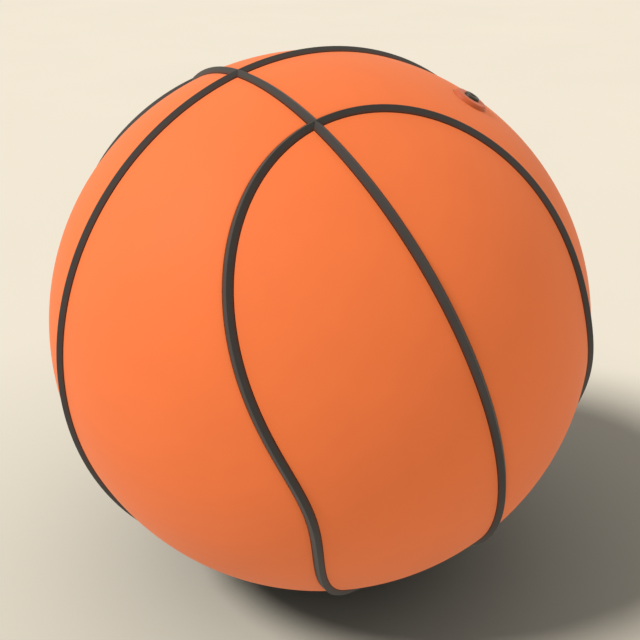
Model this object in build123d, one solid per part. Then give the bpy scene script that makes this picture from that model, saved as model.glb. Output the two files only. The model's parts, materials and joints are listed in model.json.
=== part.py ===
from build123d import *
import math
import os

# Basketball. Millimetres, with the origin at the ball's centre.
# It is drawn in its own axes and leaned over at the end, as it lies on the floor.
# X is the axis that both loop seams run round.
# Y is square to the long seam, and Z is where the long seam crosses the middle seam.

# Overall
cover_diameter = 242.0  # over the panels, a circumference of 760
lean_angle = 17.9  # the seam crossing leans this far to the front, about X

# Wall, from the outside in
panel_thickness = 1.4
carcass_thickness = 0.8
winding_thickness = 0.4
bladder_thickness = 0.7
bond_gap = 0.1  # glue line between one layer and the next

# Seam ribs: each stands in a channel, with a groove on both sides and a ridge above the panels
rib_width = 3.8
rib_height = 2.0  # crest above the panels
rib_shoulder = 0.2  # foot of the ridge above the panels
rib_crest_round = 0.25
rib_groove = 0.2  # between a rib and the panels' edges
rib_clearance = 0.1  # where one rib butts against another
rib_slot_depth = 0.2  # below the crests, of the slot over the long rib

# Loop seams: the angle from the X axis swings between the crossings and the waist
loop_mean_angle = 50.0
loop_swing_angle = 15.0
loop_sections = 19  # sections lofted along half a loop

# Valve place, as on a globe with its pole on Z and its zero meridian through X
valve_latitude = 44.9
valve_longitude = 59.4
valve_clearance = 0.1  # round the fixed valve pieces

# Valve collar, the raised ring in the cover
collar_base_radius = 7.6
collar_top_radius = 6.8
collar_height = 1.4
collar_edge_round = 0.4

# Valve boot, the rubber sleeve inside the bladder, and the patch that holds it
neck_radius = 5.0
sleeve_length = 16.0
flange_radius = 14.0
flange_thickness = 1.2
patch_radius = 18.0
patch_thickness = 0.5

# Valve plug, which pulls out of the boot
plug_head_radius = 3.2
plug_head_proud = 1.0  # above the collar
plug_stem_radius = 2.7
plug_edge_round = 0.5
plug_running_gap = 0.05  # stem in the sleeve
plug_seat_gap = 0.05  # under the head
needle_hole_radius = 1.0
needle_hole_depth = 20.0
needle_funnel_radius = 1.7
needle_funnel_depth = 0.7

# How far a cutting shape runs past what it cuts
cut_margin = 3.0

# Radii that follow from the wall
cover_radius = cover_diameter / 2
panel_inner = cover_radius - panel_thickness
carcass_outer = panel_inner - bond_gap
carcass_inner = carcass_outer - carcass_thickness
winding_outer = carcass_inner - bond_gap
winding_inner = winding_outer - winding_thickness
bladder_outer = winding_inner - bond_gap
bladder_inner = bladder_outer - bladder_thickness
patch_outer = bladder_inner - bond_gap
patch_inner = patch_outer - patch_thickness
flange_outer = patch_inner - bond_gap
flange_inner = flange_outer - flange_thickness

# Heights along the valve axis, from the ball's centre
neck_top = carcass_outer - bond_gap
sleeve_end = flange_inner - sleeve_length
collar_top = cover_radius + collar_height
plug_shoulder = neck_top + plug_seat_gap
plug_top = collar_top + plug_head_proud

channel_width = rib_width + 2 * rib_groove
sleeve_radius = plug_stem_radius + plug_running_gap
collar_hole_radius = plug_head_radius + valve_clearance

valve_direction = Vector(1, 0, 0).rotate(Axis.Y, -valve_latitude).rotate(Axis.Z, valve_longitude)
valve_plane = Plane(origin=(0, 0, 0), z_dir=valve_direction)


def rib_profile():
    # Section of a rib: straight sides up to the shoulders and a ridge between them.
    # X runs out from the ball's centre and Y across the rib.
    half_width = rib_width / 2
    shoulder_level = cover_radius + rib_shoulder
    crest_centre = cover_radius + rib_height - rib_crest_round
    drop = crest_centre - shoulder_level
    # The flanks run from the shoulders and touch the round crest
    crest_angle = math.atan2(half_width, -drop) - math.acos(rib_crest_round / math.hypot(half_width, drop))
    crest = CenterArc((crest_centre, 0), rib_crest_round, 0, math.degrees(crest_angle))
    flank = Polyline((panel_inner, 0), (panel_inner, half_width), (shoulder_level, half_width), crest @ 1)
    half = flank.edges() + crest.edges()
    return make_face(half + [mirror(edge, about=Plane.XZ) for edge in half])


def cope_profile():
    # Section of the room round the long rib, open above its crest, that the other ribs are cut to.
    side = rib_width / 2 + rib_clearance
    foot = panel_inner - rib_clearance
    shoulder_level = cover_radius + rib_shoulder + rib_clearance
    slot_half = 2 * rib_crest_round
    slot_level = cover_radius + rib_height - rib_slot_depth
    top = cover_radius + rib_height + cut_margin
    half = [(foot, side), (shoulder_level, side), (slot_level, slot_half), (top, slot_half)]
    return Polygon(*half, *[(out, -across) for out, across in reversed(half)], align=None)


def channel_profile():
    # Section of the gap that a rib lies in, cut right through a panel.
    depth = panel_thickness + 2 * cut_margin
    middle = cover_radius - panel_thickness / 2
    return Pos(middle, 0) * Rectangle(depth, channel_width)


def loop_point(turn):
    # Direction of the loop seam at a turn about X, counted from Z towards Y.
    angle = loop_mean_angle + loop_swing_angle * math.cos(2 * math.radians(turn))
    return Vector(1, 0, 0).rotate(Axis.Y, -angle).rotate(Axis.X, -turn)


def half_loop(profile):
    # The profile carried along the loop seam on the back of the ball, from crossing to crossing.
    step = 180 / (loop_sections - 1)
    small = step / 1000
    sections = []
    for number in range(loop_sections):
        turn = number * step
        along = loop_point(turn + small) - loop_point(turn - small)
        section_plane = Plane(origin=(0, 0, 0), x_dir=loop_point(turn), z_dir=along)
        sections.append(section_plane * profile)
    return loft(sections)


def ball(radius):
    # A sphere with its poles on the loop axis, so that no panel holds a pole.
    return Rot(0, 90, 0) * Sphere(radius)


def shell(outer, inner):
    return ball(outer) - ball(inner)


def on_valve_axis(radius, bottom, top):
    # A round bar on the valve axis between two heights.
    bar = Cylinder(radius, top - bottom, align=(Align.CENTER, Align.CENTER, Align.MIN))
    return valve_plane.location * Pos(0, 0, bottom) * bar


def valve_hole(radius):
    return on_valve_axis(radius, flange_inner - cut_margin, cover_radius + cut_margin)


def highest_edge(piece):
    # The outermost edge along the valve axis.
    return max(piece.edges(), key=lambda edge: edge.center().dot(valve_direction))


def cover_panels():
    # One quarter of the cover, split by the loop channel, and its mirror images.
    corner = Pos(channel_width / 2, channel_width / 2, 0)
    reach = cover_diameter
    quarter = corner * Box(reach, reach, 2 * reach, align=(Align.MIN, Align.MIN, Align.CENTER))
    pieces = (shell(cover_radius, panel_inner) & quarter) - half_loop(channel_profile())
    belt, cap = sorted(pieces.solids(), key=lambda piece: piece.center().X)
    panels = {}
    for name, piece in (("belt", belt), ("cap", cap)):
        right_front = mirror(piece, about=Plane.XZ)
        panels[f"right_{name}_panel_back"] = piece
        panels[f"right_{name}_panel_front"] = right_front
        panels[f"left_{name}_panel_back"] = mirror(piece, about=Plane.YZ)
        panels[f"left_{name}_panel_front"] = mirror(right_front, about=Plane.YZ)
    panels["right_belt_panel_back"] -= valve_hole(collar_base_radius + valve_clearance)
    return panels


def seam_ribs():
    # The long rib is whole. The others are coped to fit against it.
    long_rib = revolve(rib_profile(), Axis.Y)
    long_rib_room = revolve(cope_profile(), Axis.Y)
    crossing_plane = Plane(origin=(0, 0, 0), x_dir=(0, 0, 1), z_dir=(0, 1, 0))
    middle_back = revolve(crossing_plane * rib_profile(), -Axis.X, 180) - long_rib_room
    loop_back = half_loop(rib_profile()) - long_rib_room
    loop_front = mirror(loop_back, about=Plane.XZ)
    return {
        "long_seam_rib": long_rib,
        "middle_seam_rib_front": mirror(middle_back, about=Plane.XZ),
        "middle_seam_rib_back": middle_back,
        "right_loop_rib_back": loop_back,
        "right_loop_rib_front": loop_front,
        "left_loop_rib_back": mirror(loop_back, about=Plane.YZ),
        "left_loop_rib_front": mirror(loop_front, about=Plane.YZ),
    }


def inner_layers():
    # Moulded carcass, thread winding and bladder, each open round the valve neck.
    opening = valve_hole(neck_radius + valve_clearance)
    return {
        "carcass": shell(carcass_outer, carcass_inner) - opening,
        "thread_winding": shell(winding_outer, winding_inner) - opening,
        "bladder": shell(bladder_outer, bladder_inner) - opening,
    }


def valve_collar():
    foot = panel_inner - cut_margin
    skirt_top = math.sqrt(cover_radius**2 - collar_base_radius**2)
    skirt = on_valve_axis(collar_base_radius, foot, skirt_top)
    rise = collar_top - skirt_top
    cone = Cone(
        collar_base_radius, collar_top_radius, rise, align=(Align.CENTER, Align.CENTER, Align.MIN)
    )
    collar = skirt + valve_plane.location * Pos(0, 0, skirt_top) * cone
    collar = fillet(highest_edge(collar), collar_edge_round)
    hole = on_valve_axis(collar_hole_radius, foot - cut_margin, collar_top + cut_margin)
    return collar - ball(panel_inner) - hole


def valve_boot():
    flange = shell(flange_outer, flange_inner) & on_valve_axis(flange_radius, 0, cover_radius)
    sleeve = on_valve_axis(neck_radius, sleeve_end, neck_top)
    bore = on_valve_axis(sleeve_radius, sleeve_end - cut_margin, neck_top + cut_margin)
    return flange + sleeve - bore


def valve_patch():
    disc = shell(patch_outer, patch_inner) & on_valve_axis(patch_radius, 0, cover_radius)
    return disc - valve_hole(neck_radius + valve_clearance)


def valve_plug():
    head = on_valve_axis(plug_head_radius, plug_shoulder, plug_top)
    head = fillet(highest_edge(head), plug_edge_round)
    stem = on_valve_axis(plug_stem_radius, sleeve_end, plug_shoulder)
    needle_hole = on_valve_axis(needle_hole_radius, plug_top - needle_hole_depth, plug_top)
    funnel = Cone(
        needle_hole_radius,
        needle_funnel_radius,
        needle_funnel_depth,
        align=(Align.CENTER, Align.CENTER, Align.MAX),
    )
    return head + stem - needle_hole - valve_plane.location * Pos(0, 0, plug_top) * funnel


def ball_pieces():
    pieces = cover_panels()
    pieces.update(seam_ribs())
    pieces.update(inner_layers())
    pieces["valve_collar"] = valve_collar()
    pieces["valve_boot"] = valve_boot()
    pieces["valve_patch"] = valve_patch()
    pieces["valve_plug"] = valve_plug()
    return pieces


os.makedirs("parts", exist_ok=True)
for node, piece in ball_pieces().items():
    leaned = Rot(lean_angle, 0, 0) * piece
    leaned.label = node
    export_step(leaned, f"parts/{node}.step")
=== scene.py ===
import json
import math

import bpy
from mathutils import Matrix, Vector


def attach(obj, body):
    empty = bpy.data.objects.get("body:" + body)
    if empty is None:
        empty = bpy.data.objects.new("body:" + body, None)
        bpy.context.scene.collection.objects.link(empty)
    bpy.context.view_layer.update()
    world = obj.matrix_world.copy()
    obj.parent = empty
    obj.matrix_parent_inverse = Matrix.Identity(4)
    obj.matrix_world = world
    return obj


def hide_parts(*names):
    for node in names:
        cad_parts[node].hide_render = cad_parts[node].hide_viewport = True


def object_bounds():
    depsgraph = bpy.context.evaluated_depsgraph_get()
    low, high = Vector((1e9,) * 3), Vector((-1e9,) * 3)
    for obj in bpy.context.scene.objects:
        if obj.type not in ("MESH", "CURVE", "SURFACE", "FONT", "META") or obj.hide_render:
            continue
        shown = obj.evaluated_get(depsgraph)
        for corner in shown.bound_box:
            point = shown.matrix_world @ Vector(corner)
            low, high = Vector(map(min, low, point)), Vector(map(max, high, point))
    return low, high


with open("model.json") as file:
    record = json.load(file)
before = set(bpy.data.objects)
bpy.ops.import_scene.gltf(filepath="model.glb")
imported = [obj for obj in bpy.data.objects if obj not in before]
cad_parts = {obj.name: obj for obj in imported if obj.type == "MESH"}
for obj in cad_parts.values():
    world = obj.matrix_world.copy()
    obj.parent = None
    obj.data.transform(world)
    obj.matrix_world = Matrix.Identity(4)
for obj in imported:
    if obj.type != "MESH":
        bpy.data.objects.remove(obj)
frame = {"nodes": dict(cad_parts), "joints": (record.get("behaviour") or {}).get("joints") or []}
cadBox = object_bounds()
print("frame loaded with", len(frame["nodes"]), "nodes")

# Metres. X is the axis of the loop seams, Y is square to the long seam,
# and Z is where the long and middle seams cross, before the ball is leaned over.
ballSizes = {
    "radius": 0.121,  # over the panels
    "leanDegrees": 17.9,  # about X, the crossing goes to the front
    "channelHalf": 0.0021,  # half the gap that a rib lies in
    "loopMean": math.radians(50),  # loop seam's angle from X
    "loopSwing": math.radians(15),
}
valveAxis = Vector(frame["joints"][0]["axis"])

mergeDistance = 1e-6
nearRim = 5e-5  # a corner this close to a rim belongs to it
nearlyFlat = 0.9  # a face whose normal's z is past this looks up
settleRounds = 8  # each round brings a turn closer to its place


def pickOnly(piece):
    bpy.ops.object.select_all(action="DESELECT")
    piece.select_set(True)
    bpy.context.view_layer.objects.active = piece


def newPiece(name):
    piece = bpy.context.object
    piece.name = name
    piece.data.name = name
    pickOnly(piece)
    return piece


def editMode(element="VERT"):
    bpy.ops.object.mode_set(mode="EDIT")
    bpy.ops.mesh.select_mode(type=element)


def objectMode():
    bpy.ops.object.mode_set(mode="OBJECT")


def selectCorners(piece, wanted):
    editMode()
    bpy.ops.mesh.select_all(action="DESELECT")
    objectMode()
    for corner in piece.data.vertices:
        corner.select = wanted(corner.co)
    editMode()


def selectFaces(piece, wanted):
    editMode("FACE")
    bpy.ops.mesh.select_all(action="DESELECT")
    objectMode()
    for face in piece.data.polygons:
        face.select = wanted(face)
    editMode("FACE")


def selectEdges(piece, wanted):
    editMode("EDGE")
    bpy.ops.mesh.select_all(action="DESELECT")
    objectMode()
    corners = piece.data.vertices
    for edge in piece.data.edges:
        first, second = edge.vertices
        edge.select = wanted(corners[first].co, corners[second].co)
    editMode("EDGE")


def cleanMesh(piece):
    pickOnly(piece)
    editMode()
    bpy.ops.mesh.select_all(action="SELECT")
    bpy.ops.mesh.remove_doubles(threshold=mergeDistance)
    bpy.ops.mesh.normals_make_consistent(inside=False)
    objectMode()


def finishWith(piece, kind, **settings):
    pickOnly(piece)
    modifier = piece.modifiers.new(kind.lower(), kind)
    for setting, value in settings.items():
        setattr(modifier, setting, value)
    bpy.ops.object.modifier_apply(modifier=modifier.name)


def cutAway(piece, tool):
    finishWith(piece, "BOOLEAN", operation="DIFFERENCE", object=tool, solver="EXACT")


def smoothShade(piece, degrees=35):
    pickOnly(piece)
    bpy.ops.object.shade_smooth_by_angle(angle=math.radians(degrees))


def applyPlace(piece):
    pickOnly(piece)
    bpy.ops.object.transform_apply(location=True, rotation=True, scale=True)


def mirroredCopy(piece, name, flip):
    pickOnly(piece)
    bpy.ops.object.duplicate()
    copy = newPiece(name)
    copy.scale = flip
    applyPlace(copy)
    cleanMesh(copy)
    return copy


def leanOver(piece):
    piece.rotation_euler = (math.radians(ballSizes["leanDegrees"]), 0, 0)
    applyPlace(piece)


def ontoValveAxis(piece):
    piece.rotation_mode = "QUATERNION"
    piece.rotation_quaternion = Vector((0, 0, 1)).rotation_difference(valveAxis)
    applyPlace(piece)
    piece.rotation_mode = "XYZ"


def standFor(piece, node, body="ball"):
    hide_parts(node)
    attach(piece, body)


# Where things lie on the ball, as directions from its centre
def fromLoopAxis(polar, turn):
    side = math.sin(polar)
    return Vector((math.cos(polar), side * math.sin(turn), side * math.cos(turn)))


def loopSeam(turn):
    polar = ballSizes["loopMean"] + ballSizes["loopSwing"] * math.cos(2 * turn)
    return fromLoopAxis(polar, turn)


def towardsCap(turn):  # across the loop seam, on the ball
    step = 0.001
    along = loopSeam(turn + step) - loopSeam(turn - step)
    return along.cross(loopSeam(turn)).normalized()


def besideLoop(turn, offset):
    seamTurn = turn
    for attempt in range(settleRounds):
        edge = loopSeam(seamTurn) * ballSizes["radius"] + towardsCap(seamTurn) * offset
        seamTurn += turn - math.atan2(edge.y, edge.z)
    return edge.normalized()


# Cover panels: a grid laid on the ball between the seams, then given its thickness
panelSizes = {
    "thickness": 0.0014,
    "edgeRound": 0.00025,
    "beltGrid": (150, 44),  # along the loop, and from it to the middle seam
    "capGrid": (96, 44),
    "capCorner": math.radians(48),  # turn where the cap's grid goes round the corner
}


def beltPoint(across, up):
    reach = ballSizes["channelHalf"] / ballSizes["radius"]
    middlePolar = math.acos(reach)
    polar = middlePolar
    for attempt in range(settleRounds):
        firstTurn = math.asin(reach / math.sin(polar))
        turn = firstTurn + across * (math.pi - 2 * firstTurn)
        loopPolar = math.acos(besideLoop(turn, -ballSizes["channelHalf"]).x)
        polar = loopPolar + up * (middlePolar - loopPolar)
    return fromLoopAxis(polar, turn)


def capEdge(turn):
    return besideLoop(turn, ballSizes["channelHalf"])


def capFirstTurn():
    reach = ballSizes["channelHalf"] / ballSizes["radius"]
    turn = 0
    for attempt in range(settleRounds):
        turn = math.asin(reach / math.sin(math.acos(capEdge(turn).x)))
    return turn


def capPoint(across, up, firstTurn):
    reach = ballSizes["channelHalf"] / ballSizes["radius"]
    cornerTurn = panelSizes["capCorner"]
    start = capEdge(firstTurn)
    end = capEdge(math.pi - firstTurn)
    swing = math.atan2(start.z, start.x) * (1 - 2 * across)
    level = math.sqrt(1 - reach**2)
    bottom = Vector((level * math.cos(swing), reach, level * math.sin(swing)))
    top = capEdge(cornerTurn + across * (math.pi - 2 * cornerTurn))
    sideTurn = firstTurn + up * (cornerTurn - firstTurn)
    left = capEdge(sideTurn)
    right = capEdge(math.pi - sideTurn)
    topLeft = capEdge(cornerTurn)
    topRight = capEdge(math.pi - cornerTurn)
    point = bottom * (1 - up) + top * up + left * (1 - across) + right * across
    point -= (start * (1 - across) + end * across) * (1 - up)
    point -= (topLeft * (1 - across) + topRight * across) * up
    return point.normalized()


def layPanel(name, grid, place):
    bpy.ops.mesh.primitive_grid_add(x_subdivisions=grid[0], y_subdivisions=grid[1], size=1)
    panel = newPiece(name)
    for corner in panel.data.vertices:
        corner.co = place(corner.co.x + 0.5, corner.co.y + 0.5) * ballSizes["radius"]
    panel.data.update()
    firstFace = panel.data.polygons[0]
    if firstFace.normal.dot(firstFace.center) < 0:
        editMode("FACE")
        bpy.ops.mesh.select_all(action="SELECT")
        bpy.ops.mesh.flip_normals()
        objectMode()
    finishWith(panel, "SOLIDIFY", thickness=panelSizes["thickness"], offset=-1)
    finishWith(panel, "BEVEL", width=panelSizes["edgeRound"], segments=3, limit_method="ANGLE")
    cleanMesh(panel)
    return panel


firstCapTurn = capFirstTurn()
panelPlaces = {
    "belt": (panelSizes["beltGrid"], beltPoint),
    "cap": (
        panelSizes["capGrid"],
        lambda across, up: capPoint(across, up, firstCapTurn),
    ),
}
sides = {"right": 1, "left": -1}
faces = {"back": 1, "front": -1}
panels = {}
for kind, (grid, place) in panelPlaces.items():
    pattern = layPanel(kind + "_pattern", grid, place)
    for side, acrossX in sides.items():
        for face, acrossY in faces.items():
            name = f"{side}_{kind}_cover_{face}"
            panel = mirroredCopy(pattern, name, (acrossX, acrossY, 1))
            leanOver(panel)
            panels[f"{side}_{kind}_panel_{face}"] = panel
    bpy.data.objects.remove(pattern)
print("laid", len(panels), "cover panels")

# Seam ribs: straight sides and a ridge above the panels, drawn once and spun round the ball
ribSizes = {
    "halfWidth": 0.0019,
    "shoulder": 0.0002,  # foot of the ridge above the panels
    "crestRound": 0.00025,
    "root": 0.1196,  # where it is bonded to the carcass
    "clearance": 0.00003,  # where one rib butts against another
    "turnSteps": 120,  # for half a turn
    "copeReach": math.radians(4),  # the long rib is met before this turn
    "copeHalvings": 30,
}


def spinRib(name, degrees):
    level = ballSizes["radius"] + ribSizes["shoulder"]
    bpy.ops.mesh.primitive_circle_add(
        vertices=4,
        radius=ribSizes["halfWidth"],
        fill_type="NGON",
        location=(0, 0, level),
        rotation=(math.pi / 2, 0, 0),
    )
    rib = newPiece(name)
    applyPlace(rib)
    selectCorners(rib, lambda place: place.z > level + ribSizes["shoulder"])
    bpy.ops.mesh.bevel(offset=ribSizes["crestRound"], segments=6, affect="VERTICES")
    bpy.ops.mesh.select_all(action="SELECT")
    bpy.ops.mesh.bisect(plane_co=(0, 0, level), plane_no=(0, 0, 1), clear_inner=True)
    objectMode()
    selectEdges(rib, lambda first, second: max(first.z, second.z) < level + mergeDistance)
    down = ribSizes["root"] - level
    bpy.ops.mesh.extrude_region_move(TRANSFORM_OT_translate={"value": (0, 0, down)})
    bpy.ops.mesh.select_all(action="SELECT")
    bpy.ops.mesh.dissolve_faces()
    bpy.ops.mesh.delete(type="ONLY_FACE")  # only the outline is spun
    bpy.ops.mesh.select_all(action="SELECT")
    steps = round(ribSizes["turnSteps"] * degrees / 180)
    bpy.ops.mesh.spin(
        steps=steps, angle=math.radians(degrees), center=(0, 0, 0), axis=(1, 0, 0)
    )
    if degrees < 360:
        bpy.ops.mesh.select_all(action="DESELECT")
        bpy.ops.mesh.select_non_manifold()
        bpy.ops.mesh.fill_holes(sides=0)
    objectMode()
    cleanMesh(rib)
    return rib


def alongMiddle(turn, outwards, side):
    return Vector((side, outwards * math.sin(turn), outwards * math.cos(turn)))


def alongLoop(turn, outwards, side):
    return loopSeam(turn) * outwards + towardsCap(turn) * side


def longRibHalf(level):  # half the room that the long rib takes up, at this distance from Y
    aboveShoulder = level - ballSizes["radius"] - ribSizes["shoulder"]
    return ribSizes["halfWidth"] - max(aboveShoulder, 0) + ribSizes["clearance"]


def copeTurn(place, outwards, side):  # where a line of the rib meets the long rib
    inside, outside = 0, ribSizes["copeReach"]
    for attempt in range(ribSizes["copeHalvings"]):
        turn = (inside + outside) / 2
        point = place(turn, outwards, side)
        if point.y < longRibHalf(math.hypot(point.x, point.z)):
            inside = turn
        else:
            outside = turn
    return outside


def wrapRib(rib, place):
    starts = {}
    for corner in rib.data.vertices:
        side = corner.co.x
        outwards = math.hypot(corner.co.y, corner.co.z)
        line = (round(side, 7), round(outwards, 7))
        if line not in starts:
            starts[line] = copeTurn(place, outwards, side)
        turn = math.atan2(abs(corner.co.y), corner.co.z)
        turn = starts[line] + turn * (1 - 2 * starts[line] / math.pi)
        corner.co = place(turn, outwards, side)
    cleanMesh(rib)


ribs = {}
longRib = spinRib("long_seam", 360)
longRib.rotation_euler = (0, 0, math.pi / 2)
applyPlace(longRib)
ribs["long_seam_rib"] = longRib

middleRib = spinRib("middle_seam_pattern", 180)
wrapRib(middleRib, alongMiddle)
loopRib = spinRib("loop_seam_pattern", 180)
wrapRib(loopRib, alongLoop)
for face, acrossY in faces.items():
    name = f"middle_seam_{face}"
    ribs[f"middle_seam_rib_{face}"] = mirroredCopy(middleRib, name, (1, acrossY, 1))
    for side, acrossX in sides.items():
        name = f"{side}_loop_seam_{face}"
        ribs[f"{side}_loop_rib_{face}"] = mirroredCopy(loopRib, name, (acrossX, acrossY, 1))
for pattern in (middleRib, loopRib):
    bpy.data.objects.remove(pattern)
for rib in ribs.values():
    leanOver(rib)
    smoothShade(rib)
    finishWith(rib, "WEIGHTED_NORMAL", keep_sharp=True)
print("spun", len(ribs), "seam ribs")

# Valve collar: the raised ring in the cover, made upright at the centre and then put in place
collarSizes = {
    "baseRadius": 0.0076,
    "topRadius": 0.0068,
    "foot": 0.11956,
    "skirtTop": 0.12076,
    "top": 0.1224,
    "holeRadius": 0.0033,
    "edgeRound": 0.0004,
    "holeRound": 0.0002,
    "cutRadius": 0.0077,  # of the hole in the panel
    "cutDepth": 0.02,
    "vertices": 128,
}


def makeCollar():
    skirtHeight = collarSizes["skirtTop"] - collarSizes["foot"]
    bpy.ops.mesh.primitive_cylinder_add(
        vertices=collarSizes["vertices"],
        radius=collarSizes["baseRadius"],
        depth=skirtHeight,
        location=(0, 0, collarSizes["foot"] + skirtHeight / 2),
    )
    collar = newPiece("collar_ring")
    applyPlace(collar)
    selectFaces(collar, lambda face: face.normal.z > nearlyFlat)
    rise = collarSizes["top"] - collarSizes["skirtTop"]
    bpy.ops.mesh.extrude_region_move(TRANSFORM_OT_translate={"value": (0, 0, rise)})
    taper = collarSizes["topRadius"] / collarSizes["baseRadius"]
    bpy.ops.transform.resize(value=(taper, taper, 1), center_override=(0, 0, 0))
    for up, radius in ((1, collarSizes["topRadius"]), (-1, collarSizes["baseRadius"])):
        selectFaces(
            collar, lambda face: face.normal.z * up > nearlyFlat and len(face.vertices) > 4
        )
        bpy.ops.mesh.inset(thickness=radius - collarSizes["holeRadius"])
    selectFaces(
        collar, lambda face: abs(face.normal.z) > nearlyFlat and len(face.vertices) > 4
    )
    bpy.ops.mesh.bridge_edge_loops()
    for radius, edgeRound in (
        (collarSizes["topRadius"], collarSizes["edgeRound"]),
        (collarSizes["holeRadius"], collarSizes["holeRound"]),
    ):
        bevelRim(collar, collarSizes["top"], radius, edgeRound)
    cleanMesh(collar)
    return collar


def bevelRim(piece, height, radius, edgeRound):
    def onRim(first, second):
        return all(
            abs(end.z - height) < nearRim and abs(end.xy.length - radius) < nearRim
            for end in (first, second)
        )

    selectEdges(piece, onRim)
    bpy.ops.mesh.bevel(offset=edgeRound, segments=5, affect="EDGES")
    objectMode()


collar = makeCollar()
ontoValveAxis(collar)
smoothShade(collar)
print("made the collar")

# The panel is cut for the collar
bpy.ops.mesh.primitive_cylinder_add(
    vertices=collarSizes["vertices"],
    radius=collarSizes["cutRadius"],
    depth=collarSizes["cutDepth"],
    location=(0, 0, ballSizes["radius"]),
)
collarCut = newPiece("collar_cut")
applyPlace(collarCut)
ontoValveAxis(collarCut)
cutAway(panels["right_belt_panel_back"], collarCut)
bpy.data.objects.remove(collarCut)
for panel in panels.values():
    smoothShade(panel)

# Valve plug: a round head on a stem, with the needle's hole down the middle
plugSizes = {
    "headRadius": 0.0032,
    "stemRadius": 0.0027,
    "top": 0.1234,
    "shoulder": 0.11945,
    "stemEnd": 0.0995,
    "funnelRadius": 0.0017,
    "needleRadius": 0.001,
    "funnelDepth": 0.0007,
    "needleDepth": 0.02,
    "edgeRound": 0.0005,
    "stemRound": 0.0003,
    "funnelRound": 0.0002,
    "vertices": 96,
}


def makePlug():
    headHeight = plugSizes["top"] - plugSizes["shoulder"]
    bpy.ops.mesh.primitive_cylinder_add(
        vertices=plugSizes["vertices"],
        radius=plugSizes["headRadius"],
        depth=headHeight,
        location=(0, 0, plugSizes["top"] - headHeight / 2),
    )
    plug = newPiece("needle_plug")
    applyPlace(plug)
    selectFaces(plug, lambda face: face.normal.z < -nearlyFlat)
    bpy.ops.mesh.inset(thickness=plugSizes["headRadius"] - plugSizes["stemRadius"])
    down = plugSizes["stemEnd"] - plugSizes["shoulder"]
    bpy.ops.mesh.extrude_region_move(TRANSFORM_OT_translate={"value": (0, 0, down)})
    selectFaces(plug, lambda face: face.normal.z > nearlyFlat)
    bpy.ops.mesh.inset(thickness=plugSizes["headRadius"] - plugSizes["funnelRadius"])
    down = -plugSizes["funnelDepth"]
    bpy.ops.mesh.extrude_region_move(TRANSFORM_OT_translate={"value": (0, 0, down)})
    taper = plugSizes["needleRadius"] / plugSizes["funnelRadius"]
    bpy.ops.transform.resize(value=(taper, taper, 1), center_override=(0, 0, 0))
    down = plugSizes["funnelDepth"] - plugSizes["needleDepth"]
    bpy.ops.mesh.extrude_region_move(TRANSFORM_OT_translate={"value": (0, 0, down)})
    objectMode()
    bevelRim(plug, plugSizes["top"], plugSizes["headRadius"], plugSizes["edgeRound"])
    bevelRim(plug, plugSizes["top"], plugSizes["funnelRadius"], plugSizes["funnelRound"])
    bevelRim(plug, plugSizes["stemEnd"], plugSizes["stemRadius"], plugSizes["stemRound"])
    cleanMesh(plug)
    return plug


plug = makePlug()
ontoValveAxis(plug)
smoothShade(plug)
print("made the plug")

# Inner layers: shells one inside the other, each open round the valve's neck
layerSizes = {
    "carcass": {"name": "carcass_shell", "radius": 0.1195, "thickness": 0.0008},
    "thread_winding": {"name": "winding_shell", "radius": 0.1186, "thickness": 0.0004},
    "bladder": {"name": "bladder_shell", "radius": 0.1181, "thickness": 0.0007},
}
shellGrid = {"segments": 96, "rings": 64, "openingRadius": 0.0051}


def layShell(name, radius, thickness):
    bpy.ops.mesh.primitive_uv_sphere_add(
        segments=shellGrid["segments"], ring_count=shellGrid["rings"], radius=radius
    )
    shell = newPiece(name)
    ringStep = math.pi / shellGrid["rings"]
    selectCorners(shell, lambda place: place.z > radius * math.cos(ringStep / 2))
    bpy.ops.mesh.delete(type="VERT")  # the pole makes way for the neck
    objectMode()
    selectCorners(shell, lambda place: place.z > radius * math.cos(ringStep * 1.5))
    opening = shellGrid["openingRadius"]
    widen = opening / (radius * math.sin(ringStep))
    bpy.ops.transform.resize(value=(widen, widen, 1), center_override=(0, 0, 0))
    lift = math.sqrt(radius**2 - opening**2) - radius * math.cos(ringStep)
    bpy.ops.transform.translate(value=(0, 0, lift))
    objectMode()
    finishWith(shell, "SOLIDIFY", thickness=thickness, offset=-1)
    ontoValveAxis(shell)
    smoothShade(shell)
    return shell


layers = {node: layShell(**sizes) for node, sizes in layerSizes.items()}
print("laid", len(layers), "inner layers")


# Finishes. A look's tones and roughness go from the noise's low values to its high ones
noiseSpan = (0.3, 0.7)
mottleDetail = 3
grainDetail = 2
grainRoughness = 0.6


def newFinish(name):
    finish = bpy.data.materials.new(name)
    finish.use_nodes = True
    return finish


def addNode(finish, kind, **values):
    node = finish.node_tree.nodes.new(kind)
    for socket, value in values.items():
        node.inputs[socket.replace("_", " ")].default_value = value
    return node


def join(finish, fromNode, output, toNode, socket):
    finish.node_tree.links.new(fromNode.outputs[output], toNode.inputs[socket])


def noiseOn(finish, scale, detail, roughness=0.5):
    where = addNode(finish, "ShaderNodeTexCoord")
    noise = addNode(
        finish, "ShaderNodeTexNoise", Scale=scale, Detail=detail, Roughness=roughness
    )
    join(finish, where, "Object", noise, "Vector")
    return noise


def spread(finish, source, output, low, high, toNode, socket):
    first, last = noiseSpan
    span = addNode(
        finish, "ShaderNodeMapRange", From_Min=first, From_Max=last, To_Min=low, To_Max=high
    )
    join(finish, source, output, span, "Value")
    join(finish, span, "Result", toNode, socket)


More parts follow.
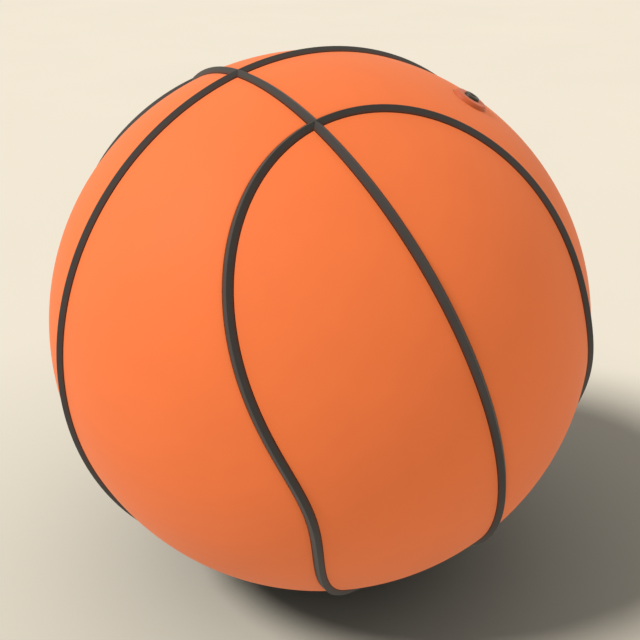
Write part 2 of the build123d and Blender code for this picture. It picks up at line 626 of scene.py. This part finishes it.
def rubberFinish(name, look):
    finish = newFinish(name)
    shader = finish.node_tree.nodes["Principled BSDF"]
    shader.inputs["Specular IOR Level"].default_value = look["specular"]
    shader.inputs["Sheen Weight"].default_value = look.get("sheen", 0)
    mottle = noiseOn(finish, look["mottleScale"], mottleDetail)
    tones = addNode(finish, "ShaderNodeValToRGB")
    for stop, place, tone in zip(tones.color_ramp.elements, noiseSpan, ("darkTone", "paleTone")):
        stop.position = place
        stop.color = (*look[tone], 1)
    join(finish, mottle, "Fac", tones, "Fac")
    join(finish, tones, "Color", shader, "Base Color")
    spread(finish, mottle, "Fac", *look["roughness"], shader, "Roughness")
    grain = noiseOn(finish, look["grainScale"], grainDetail, grainRoughness)
    bump = addNode(
        finish, "ShaderNodeBump", Strength=look["grainStrength"], Distance=look["grainHeight"]
    )
    join(finish, grain, "Fac", bump, "Height")
    join(finish, bump, "Normal", shader, "Normal")
    return finish


def mixIntoTone(finish, blend):
    shader = finish.node_tree.nodes["Principled BSDF"]
    tones = shader.inputs["Base Color"].links[0].from_node
    mix = addNode(finish, "ShaderNodeMixRGB")
    mix.blend_type = blend
    join(finish, tones, "Color", mix, "Color1")
    join(finish, mix, "Color", shader, "Base Color")
    return mix


def seamFinish(name, look):  # painted shade: a dark brown band at the foot of a rib, standing in for the orange cover in shade beside it
    finish = rubberFinish(name, look)
    where = addNode(finish, "ShaderNodeTexCoord")
    outwards = addNode(finish, "ShaderNodeVectorMath")
    outwards.operation = "LENGTH"
    low, high = look["paintedShadeLevels"]
    foot = addNode(
        finish, "ShaderNodeMapRange", From_Min=low, From_Max=high, To_Min=1, To_Max=0
    )
    # painted shade mixed into the rib's tone near its foot
    mix = mixIntoTone(finish, "MIX")
    mix.inputs["Color2"].default_value = (*look["paintedShadeTone"], 1)
    join(finish, where, "Object", outwards, "Vector")
    join(finish, outwards, "Value", foot, "Value")
    join(finish, foot, "Result", mix, "Fac")
    return finish


coverLook = {
    "darkTone": (0.7, 0.161, 0.047),
    "paleTone": (0.72, 0.167, 0.049),
    "roughness": (0.6, 0.66),
    "specular": 0.17,
    "sheen": 0.04,
    "mottleScale": 60,
    "grainScale": 1600,
    "grainStrength": 0.25,
    "grainHeight": 0.0001,
}
seamLook = {
    "darkTone": (0.031, 0.03, 0.032),
    "paleTone": (0.038, 0.037, 0.039),
    # painted shade: the dark brown tone of the band at a rib's foot, and the heights it spans
    "paintedShadeTone": (0.075, 0.016, 0.004),
    "paintedShadeLevels": (0.1211, 0.1219),  # from the ball's centre
    "roughness": (0.66, 0.74),
    "specular": 0.3,
    "sheen": 0.08,
    "mottleScale": 140,
    "grainScale": 2200,
    "grainStrength": 0.2,
    "grainHeight": 0.00008,
}
collarLook = {
    "darkTone": (0.48, 0.078, 0.014),
    "paleTone": (0.51, 0.086, 0.016),
    "roughness": (0.6, 0.68),
    "specular": 0.5,
    "sheen": 0.1,
    "mottleScale": 200,
    "grainScale": 2200,
    "grainStrength": 0.2,
    "grainHeight": 0.00006,
}
plugLook = {
    "darkTone": (0.014, 0.014, 0.014),
    "paleTone": (0.022, 0.022, 0.021),
    "roughness": (0.4, 0.52),
    "specular": 0.5,
    "mottleScale": 300,
    "grainScale": 2600,
    "grainStrength": 0.2,
    "grainHeight": 0.00006,
}
carcassLook = {
    "darkTone": (0.024, 0.024, 0.024),
    "paleTone": (0.036, 0.035, 0.034),
    "roughness": (0.6, 0.75),
    "specular": 0.4,
    "mottleScale": 90,
    "grainScale": 1500,
    "grainStrength": 0.3,
    "grainHeight": 0.0001,
}
bladderLook = {
    "darkTone": (0.014, 0.014, 0.015),
    "paleTone": (0.024, 0.023, 0.023),
    "roughness": (0.3, 0.42),
    "specular": 0.5,
    "mottleScale": 50,
    "grainScale": 900,
    "grainStrength": 0.15,
    "grainHeight": 0.0001,
}


def threadFinish(name, look):
    finish = newFinish(name)
    shader = finish.node_tree.nodes["Principled BSDF"]
    shader.inputs["Roughness"].default_value = look["roughness"]
    where = addNode(finish, "ShaderNodeTexCoord")
    heights = []
    for degrees in look["layDegrees"]:
        turns = [math.radians(angle) for angle in degrees]
        turned = addNode(finish, "ShaderNodeMapping", Rotation=turns)
        strands = addNode(
            finish,
            "ShaderNodeTexWave",
            Scale=look["strandScale"],
            Distortion=look["wander"],
            Detail=1,
            Detail_Scale=look["wanderScale"],
        )
        join(finish, where, "Object", turned, "Vector")
        join(finish, turned, "Vector", strands, "Vector")
        heights.append(strands)
    upper = addNode(finish, "ShaderNodeMath")
    upper.operation = "MAXIMUM"
    join(finish, heights[0], "Fac", upper, 0)
    join(finish, heights[1], "Fac", upper, 1)
    tones = addNode(finish, "ShaderNodeValToRGB")
    tones.color_ramp.elements[0].color = (*look["darkTone"], 1)
    tones.color_ramp.elements[1].color = (*look["paleTone"], 1)
    join(finish, upper, "Value", tones, "Fac")
    join(finish, tones, "Color", shader, "Base Color")
    bump = addNode(
        finish, "ShaderNodeBump", Strength=look["strandStrength"], Distance=look["strandHeight"]
    )
    join(finish, upper, "Value", bump, "Height")
    join(finish, bump, "Normal", shader, "Normal")
    return finish


windingLook = {
    "darkTone": (0.42, 0.4, 0.35),
    "paleTone": (0.8, 0.78, 0.72),
    "roughness": 0.8,
    "layDegrees": ((20, 35, 0), (-40, 10, 65)),
    "strandScale": 320,
    "wander": 1.5,
    "wanderScale": 0.6,
    "strandStrength": 0.6,
    "strandHeight": 0.00015,
}
patchLook = {
    "darkTone": (0.24, 0.235, 0.22),
    "paleTone": (0.36, 0.35, 0.33),
    "roughness": 0.85,
    "layDegrees": ((0, 0, 0), (0, 0, 90)),
    "strandScale": 500,
    "wander": 0.3,
    "wanderScale": 1,
    "strandStrength": 0.6,
    "strandHeight": 0.0001,
}

coverRubber = rubberFinish("cover_rubber", coverLook)
seamRubber = seamFinish("seam_rubber", seamLook)
collarRubber = rubberFinish("collar_rubber", collarLook)
plugRubber = rubberFinish("plug_rubber", plugLook)
carcassRubber = rubberFinish("carcass_rubber", carcassLook)
bladderRubber = rubberFinish("bladder_rubber", bladderLook)
windingThread = threadFinish("winding_thread", windingLook)
patchCloth = threadFinish("patch_cloth", patchLook)


def wear(piece, finish):
    piece.data.materials.clear()
    piece.data.materials.append(finish)


for node, panel in panels.items():
    wear(panel, coverRubber)
    standFor(panel, node)
for node, rib in ribs.items():
    wear(rib, seamRubber)
    standFor(rib, node)
wear(collar, collarRubber)
standFor(collar, "valve_collar")
wear(plug, plugRubber)
standFor(plug, "valve_plug", "valve_plug")

layerFinishes = {
    "carcass": (carcassRubber, "carcass"),
    "thread_winding": (windingThread, "winding"),
    "bladder": (bladderRubber, "bladder"),
}
for node, (finish, slotName) in layerFinishes.items():
    wear(layers[node], finish)
    standFor(layers[node], node)
innerFinishes = {"valve_boot": bladderRubber, "valve_patch": patchCloth}
for node, finish in innerFinishes.items():
    for slot in frame["nodes"][node].material_slots:
        slot.material = finish
print("finished", len(panels) + len(ribs) + len(layers) + 2, "pieces and the valve's inside")

# Pale studio floor. It throws no light, so the surround lights the ball evenly from below too
floorLook = {
    "size": 40,
    "darkTone": (0.277, 0.277, 0.277),
    "paleTone": (0.283, 0.283, 0.283),
    "roughness": (0.85, 0.9),
    "specular": 0,
    "mottleScale": 3,
    "grainScale": 400,
    "grainStrength": 0.02,
    "grainHeight": 0.0002,
    # painted shade: how far the floor's ambient occlusion reaches, and how much it darkens the
    # colour
    "contactReach": 0.22,
    "contactShade": 0.6,
}


def floorFinish(name, look):  # painted shade: the floor's colour is darkened by ambient occlusion where the ball stands close over it
    finish = rubberFinish(name, look)
    openness = addNode(finish, "ShaderNodeAmbientOcclusion", Distance=look["contactReach"])
    mix = mixIntoTone(finish, "MULTIPLY")
    mix.inputs["Fac"].default_value = look["contactShade"]
    join(finish, openness, "Color", mix, "Color2")
    return finish


bpy.ops.mesh.primitive_plane_add(size=floorLook["size"], location=(0, 0, cadBox[0][2]))
floor = newPiece("studio_floor")
applyPlace(floor)
wear(floor, floorFinish("floor_paper", floorLook))
floor.visible_diffuse = False
floor.visible_shadow = False

# Soft light from the left of the camera. The floor has a lamp of its own, for a deeper shadow
lightRig = {
    "key": {
        "aroundDegrees": -107,
        "upDegrees": 44,
        "strength": 2.44,
        "tone": (1, 0.88, 0.81),
        "spreadDegrees": 12,
        "floorState": "EXCLUDE",
    },
    "floor": {
        "aroundDegrees": -100.6,
        "upDegrees": 50.3,
        "strength": 9.35,
        "tone": (1, 0.908, 0.747),
        "spreadDegrees": 16,
        "floorState": "INCLUDE",
    },
}


def outwardsAt(aroundDegrees, upDegrees):  # around from X towards Y, and up from the floor
    around = math.radians(aroundDegrees)
    up = math.radians(upDegrees)
    level = math.cos(up)
    return Vector((level * math.cos(around), level * math.sin(around), math.sin(up)))


for name, light in lightRig.items():
    towards = outwardsAt(light["aroundDegrees"], light["upDegrees"])
    bpy.ops.object.light_add(type="SUN", location=towards)
    sun = bpy.context.object
    sun.name = name + "_light"
    sun.data.energy = light["strength"]
    sun.data.color = light["tone"]
    sun.data.angle = math.radians(light["spreadDegrees"])
    sun.rotation_euler = towards.to_track_quat("Z", "Y").to_euler()
    receivers = bpy.data.collections.new(name + "_receivers")
    receivers.objects.link(floor)
    receivers.collection_objects[0].light_linking.link_state = light["floorState"]
    sun.light_linking.receiver_collection = receivers

surroundTone = (0.888, 0.806, 0.663, 1)
surround = bpy.data.worlds.new("studio_surround")
surround.use_nodes = True
surround.node_tree.nodes["Background"].inputs["Color"].default_value = surroundTone
bpy.context.scene.world = surround
bpy.context.scene.cycles.diffuse_bounces = 0  # no orange thrown onto the floor
bpy.context.scene.view_settings.view_transform = "Standard"

# Camera close to the ball, looking at its centre
cameraPlace = {
    "aroundDegrees": -31.82,  # from X towards Y
    "upDegrees": 24.73,
    "distance": 0.411,
    "lens": 49.5,
    "sensor": 36,
    "nearest": 0.01,
}
towardsCamera = outwardsAt(cameraPlace["aroundDegrees"], cameraPlace["upDegrees"])
bpy.ops.object.camera_add(location=towardsCamera * cameraPlace["distance"])
camera = bpy.context.object
camera.rotation_euler = towardsCamera.to_track_quat("Z", "Y").to_euler()
camera.data.lens = cameraPlace["lens"]
camera.data.sensor_width = cameraPlace["sensor"]
camera.data.clip_start = cameraPlace["nearest"]
bpy.context.scene.camera = camera
print("floor, lights and camera set")
